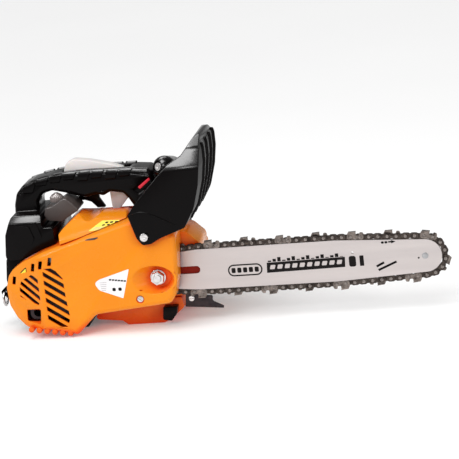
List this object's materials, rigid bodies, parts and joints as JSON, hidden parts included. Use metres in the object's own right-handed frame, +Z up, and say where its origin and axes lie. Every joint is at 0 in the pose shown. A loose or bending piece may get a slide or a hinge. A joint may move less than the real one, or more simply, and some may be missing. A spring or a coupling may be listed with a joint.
{
  "type": "top-handle petrol chainsaw",
  "caption": "Top-handle petrol chainsaw with guide bar and saw chain, hand guard brake, throttle trigger and interlock, pull starter and a full engine inside.",
  "frame": {"origin": "on the ground plane, on the tank's foot straight below the crankshaft's axis", "axes": "+X forwards along the guide bar, +Y to the operator's left, +Z up"},
  "size_m": [0.4933, 0.178, 0.2046],
  "materials": {
    "orange_plastic": "glossy moulded orange",
    "black_plastic": "semi-gloss moulded black",
    "grey_plastic": "satin moulded dark grey",
    "lever_plastic": "satin moulded pale grey",
    "red_plastic": "glossy red",
    "bar_steel": "satin ground steel with a dark stripe print",
    "chain_steel": "dark oiled steel",
    "cutter_steel": "plated cutter steel",
    "bright_steel": "zinc plated",
    "dark_steel": "dark coated steel",
    "machined_steel": "machined",
    "cast_alloy": "die cast",
    "foam": "filter foam",
    "rubber": "matt",
    "rope": "braided"
  },
  "bodies": {
    "root": {"air_filter": "foam", "air_filter_cover": "grey_plastic", "bar_nut": "bright_steel", "bar_stud": "bright_steel", "brake_band": "machined_steel", "bumper_spike": "dark_steel", "carburettor": "cast_alloy", "chain_catcher": "black_plastic", "chain_cutters": "cutter_steel", "chain_drive_links": "chain_steel", "chain_rivets": "bright_steel", "chain_tie_straps": "chain_steel", "clutch_cover": "orange_plastic", "clutch_drum": "machined_steel", "crankcase_left": "cast_alloy", "crankcase_right": "cast_alloy", "cylinder": "cast_alloy", "engine_housing": "orange_plastic", "fixing_screws": "bright_steel", "front_handle": "black_plastic", "fuel_tank": "black_plastic", "grip_cover": "black_plastic", "guard_pivot_screws": "bright_steel", "guide_bar": "bar_steel", "ignition_coil": "dark_steel", "intake_manifold": "rubber", "lanyard_bracket": "black_plastic", "muffler": "dark_steel", "nose_rivet": "machined_steel", "nose_sprocket": "machined_steel", "oil_pump": "cast_alloy", "oil_tank": "orange_plastic", "pivot_pins": "machined_steel", "shaft_bearings": "machined_steel", "spark_plug": "bright_steel", "starter_housing": "orange_plastic", "top_cover": "orange_plastic", "top_handle": "black_plastic", "vibration_mounts": "rubber"},
    "guard": {"hand_guard": "black_plastic"},
    "trigger": {"throttle_trigger": "lever_plastic"},
    "lockout": {"throttle_lockout": "lever_plastic"},
    "switch": {"stop_switch": "red_plastic"},
    "choke": {"choke_knob": "black_plastic"},
    "pull": {"starter_handle": "black_plastic", "starter_rope": "rope"},
    "pulley": {"starter_pulley": "black_plastic", "starter_spring": "machined_steel"},
    "crank": {"crankshaft": "machined_steel", "flywheel": "cast_alloy", "clutch_hub": "machined_steel", "clutch_shoes": "machined_steel", "clutch_spring": "machined_steel"},
    "slider": {"piston": "cast_alloy", "wrist_pin": "machined_steel", "connecting_rod": "cast_alloy"},
    "fuel_filler": {"fuel_cap": "black_plastic"},
    "oil_filler": {"oil_cap": "black_plastic"},
    "filter_knob": {"air_filter_knob": "lever_plastic"},
    "lanyard": {"lanyard_ring": "bright_steel"}
  },
  "joints": [
    {"name": "guard_brake", "type": "hinge", "parent": "root", "child": "guard", "pos_m": [0.0314, 0, 0.1071], "axis": [0, 1, 0], "range_deg": [0, 18]},
    {"name": "trigger_pull", "type": "hinge", "parent": "root", "child": "trigger", "pos_m": [0.004, 0, 0.1525], "axis": [0, 1, 0], "range_deg": [0, 14], "stiffness_Nm_per_rad": 0.3, "springref_deg": -8.59},
    {"name": "lockout_press", "type": "hinge", "parent": "root", "child": "lockout", "pos_m": [0.003, 0, 0.1635], "axis": [0, -1, 0], "range_deg": [0, 6], "stiffness_Nm_per_rad": 0.5, "springref_deg": -8.59},
    {"name": "stop_switch_slide", "type": "slide", "parent": "root", "child": "switch", "axis": [-0.78, 0, -0.6258], "range_m": [0, 0.0025]},
    {"name": "choke_pull", "type": "slide", "parent": "root", "child": "choke", "axis": [0, 1, 0], "range_m": [0, 0.008]},
    {"name": "starter_pull", "type": "slide", "parent": "root", "child": "pull", "axis": [0, 0, 1], "range_m": [0, 0.7], "stiffness_N_per_m": 8, "springref_m": -0.2, "deforming": ["starter_rope"]},
    {"name": "pulley_spin", "type": "hinge", "parent": "root", "child": "pulley", "pos_m": [0, 0.0505, 0.0585], "axis": [0, 1, 0], "range_deg": [0, 1605]},
    {"name": "crank_spin", "type": "hinge", "parent": "root", "child": "crank", "pos_m": [0, 0, 0.0585], "axis": [0, 1, 0], "continuous": true},
    {"name": "piston_stroke", "type": "slide", "parent": "root", "child": "slider", "axis": [1, 0, 0], "range_m": [0, 0.028], "deforming": ["connecting_rod"]},
    {"name": "fuel_cap_turn", "type": "hinge", "parent": "root", "child": "fuel_filler", "pos_m": [-0.113, 0.047, 0.05], "axis": [0, 1, 0], "range_deg": [0, 180]},
    {"name": "oil_cap_turn", "type": "hinge", "parent": "root", "child": "oil_filler", "pos_m": [0.058, 0.0355, 0.015], "axis": [1, 0, 0], "range_deg": [0, 180]},
    {"name": "filter_knob_turn", "type": "hinge", "parent": "root", "child": "filter_knob", "pos_m": [-0.07, -0.014, 0.14], "axis": [0, 0, 1], "range_deg": [0, 90]},
    {"name": "lanyard_swing", "type": "hinge", "parent": "root", "child": "lanyard", "pos_m": [-0.145, 0, 0.038], "axis": [0, 1, 0], "range_deg": [-12, 80]}
  ],
  "couplings": [
    {"joint": "pulley_spin", "follows": "starter_pull", "rad_per_m": 40}
  ]
}
